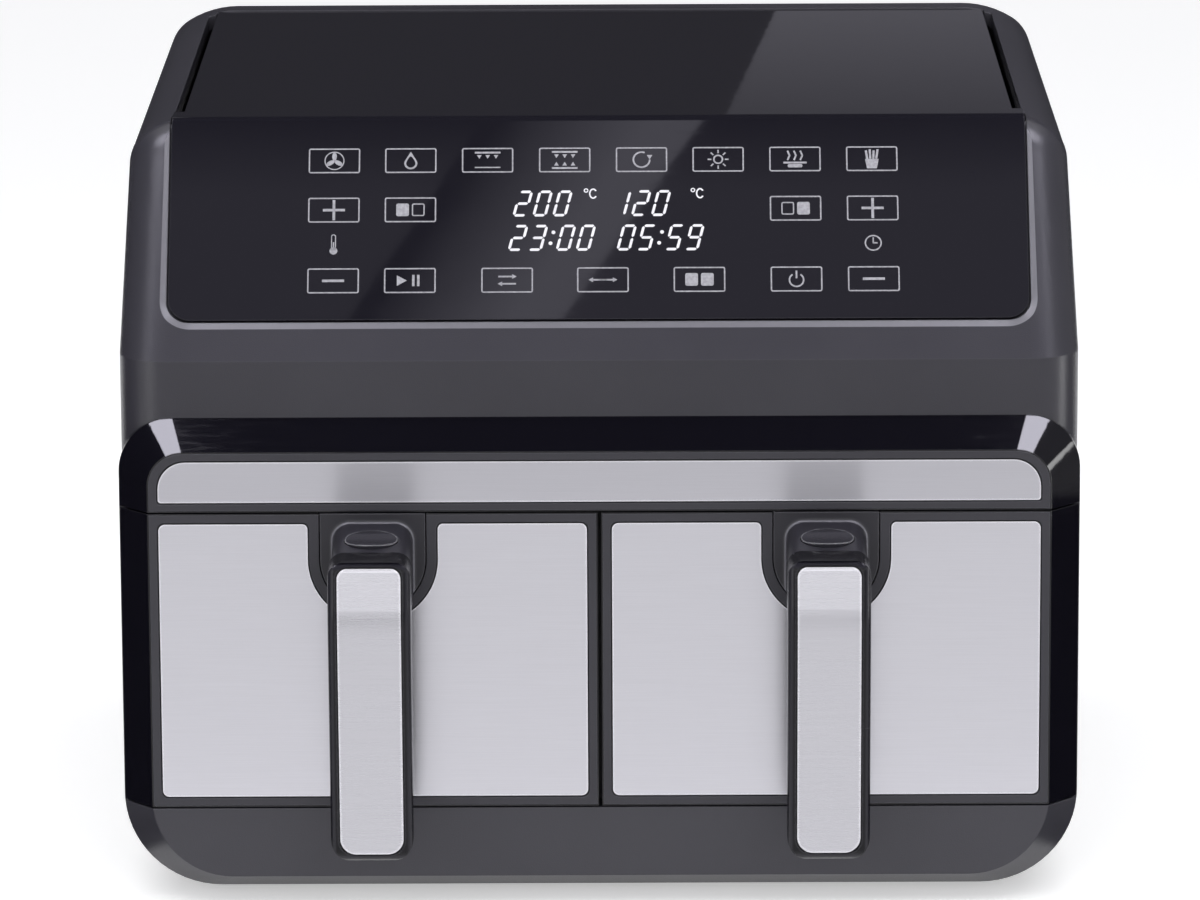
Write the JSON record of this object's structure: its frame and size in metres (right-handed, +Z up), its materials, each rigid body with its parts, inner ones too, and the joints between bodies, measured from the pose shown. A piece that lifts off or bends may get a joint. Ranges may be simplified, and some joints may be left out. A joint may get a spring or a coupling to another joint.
{
  "type": "air fryer",
  "caption": "Box-shaped air fryer with a leaning touch panel over twin pull-out drawers, each with a lift-out basket, a drop handle and a release button.",
  "frame": {"origin": "centre of the whole outline on the table, under the feet", "axes": "+X to the right of someone facing the drawers, +Y from the drawers to the back, +Z up"},
  "size_m": [0.39, 0.4127, 0.3135],
  "materials": {
    "satin_grey": "satin moulded, fine grain",
    "gloss_black": "high gloss",
    "cover_black": "high gloss, smoked",
    "brushed_plate": "horizontal brushing",
    "button_grey": "satin",
    "inner_black": "matt moulded",
    "rubber_black": "matt",
    "liner_steel": "rolled sheet, dull",
    "heater_sheath": "dark oxide",
    "fan_metal": "stamped",
    "nonstick_coat": "dark non-stick coat over pressed aluminium",
    "plain_steel": "bright zinc",
    "motor_enamel": "enamel",
    "board_green": "solder mask",
    "display_black": "smooth"
  },
  "bodies": {
    "casing": {"upper_casing": "satin_grey", "lower_casing": "satin_grey", "band_frame": "satin_grey", "visor_trim": "gloss_black", "control_cover": "cover_black", "steel_band": "brushed_plate", "base_plate": "inner_black", "rear_cover": "inner_black", "front_frame": "inner_black", "cord_gland": "inner_black", "drawer_sensors": "inner_black", "rubber_feet": "rubber_black", "left_chamber": "liner_steel", "right_chamber": "liner_steel", "left_fan_guard": "liner_steel", "right_fan_guard": "liner_steel", "left_motor_bracket": "liner_steel", "right_motor_bracket": "liner_steel", "left_heater": "heater_sheath", "right_heater": "heater_sheath", "casing_screws": "plain_steel", "left_temperature_probe": "plain_steel", "right_temperature_probe": "plain_steel", "left_motor": "motor_enamel", "right_motor": "motor_enamel", "control_board": "board_green", "power_board": "board_green", "display_module": "display_black"},
    "left_drawer": {"left_pan": "nonstick_coat", "left_drawer_front": "gloss_black", "left_front_bezel": "satin_grey", "left_steel_plate": "brushed_plate", "left_basket": "nonstick_coat", "left_crisper_plate": "nonstick_coat", "left_handle_bracket": "satin_grey", "left_handle_grip": "gloss_black", "left_handle_inlay": "brushed_plate", "left_handle_screws": "plain_steel", "left_button_spring": "plain_steel"},
    "left_button": {"left_release_button": "button_grey"},
    "left_rotor": {"left_motor_shaft": "plain_steel", "left_hot_fan": "fan_metal", "left_cooling_fan": "fan_metal"},
    "right_drawer": {"right_pan": "nonstick_coat", "right_drawer_front": "gloss_black", "right_front_bezel": "satin_grey", "right_steel_plate": "brushed_plate", "right_basket": "nonstick_coat", "right_crisper_plate": "nonstick_coat", "right_handle_bracket": "satin_grey", "right_handle_grip": "gloss_black", "right_handle_inlay": "brushed_plate", "right_handle_screws": "plain_steel", "right_button_spring": "plain_steel"},
    "right_button": {"right_release_button": "button_grey"},
    "right_rotor": {"right_motor_shaft": "plain_steel", "right_hot_fan": "fan_metal", "right_cooling_fan": "fan_metal"}
  },
  "joints": [
    {"name": "left_drawer_slide", "type": "slide", "parent": "casing", "child": "left_drawer", "axis": [0, -1, 0], "range_m": [0, 0.31]},
    {"name": "right_drawer_slide", "type": "slide", "parent": "casing", "child": "right_drawer", "axis": [0, -1, 0], "range_m": [0, 0.31]},
    {"name": "left_button_press", "type": "slide", "parent": "left_drawer", "child": "left_button", "axis": [0, 0.1736, -0.9848], "range_m": [0, 0.0035], "stiffness_N_per_m": 600, "springref_m": -0.002, "deforming": ["left_button_spring"]},
    {"name": "right_button_press", "type": "slide", "parent": "right_drawer", "child": "right_button", "axis": [0, 0.1736, -0.9848], "range_m": [0, 0.0035], "stiffness_N_per_m": 600, "springref_m": -0.002, "deforming": ["right_button_spring"]},
    {"name": "left_fan_spin", "type": "hinge", "parent": "casing", "child": "left_rotor", "pos_m": [-0.09173, 0.024, 0.2], "axis": [0, 0, 1], "continuous": true},
    {"name": "right_fan_spin", "type": "hinge", "parent": "casing", "child": "right_rotor", "pos_m": [0.09173, 0.024, 0.2], "axis": [0, 0, 1], "continuous": true}
  ]
}
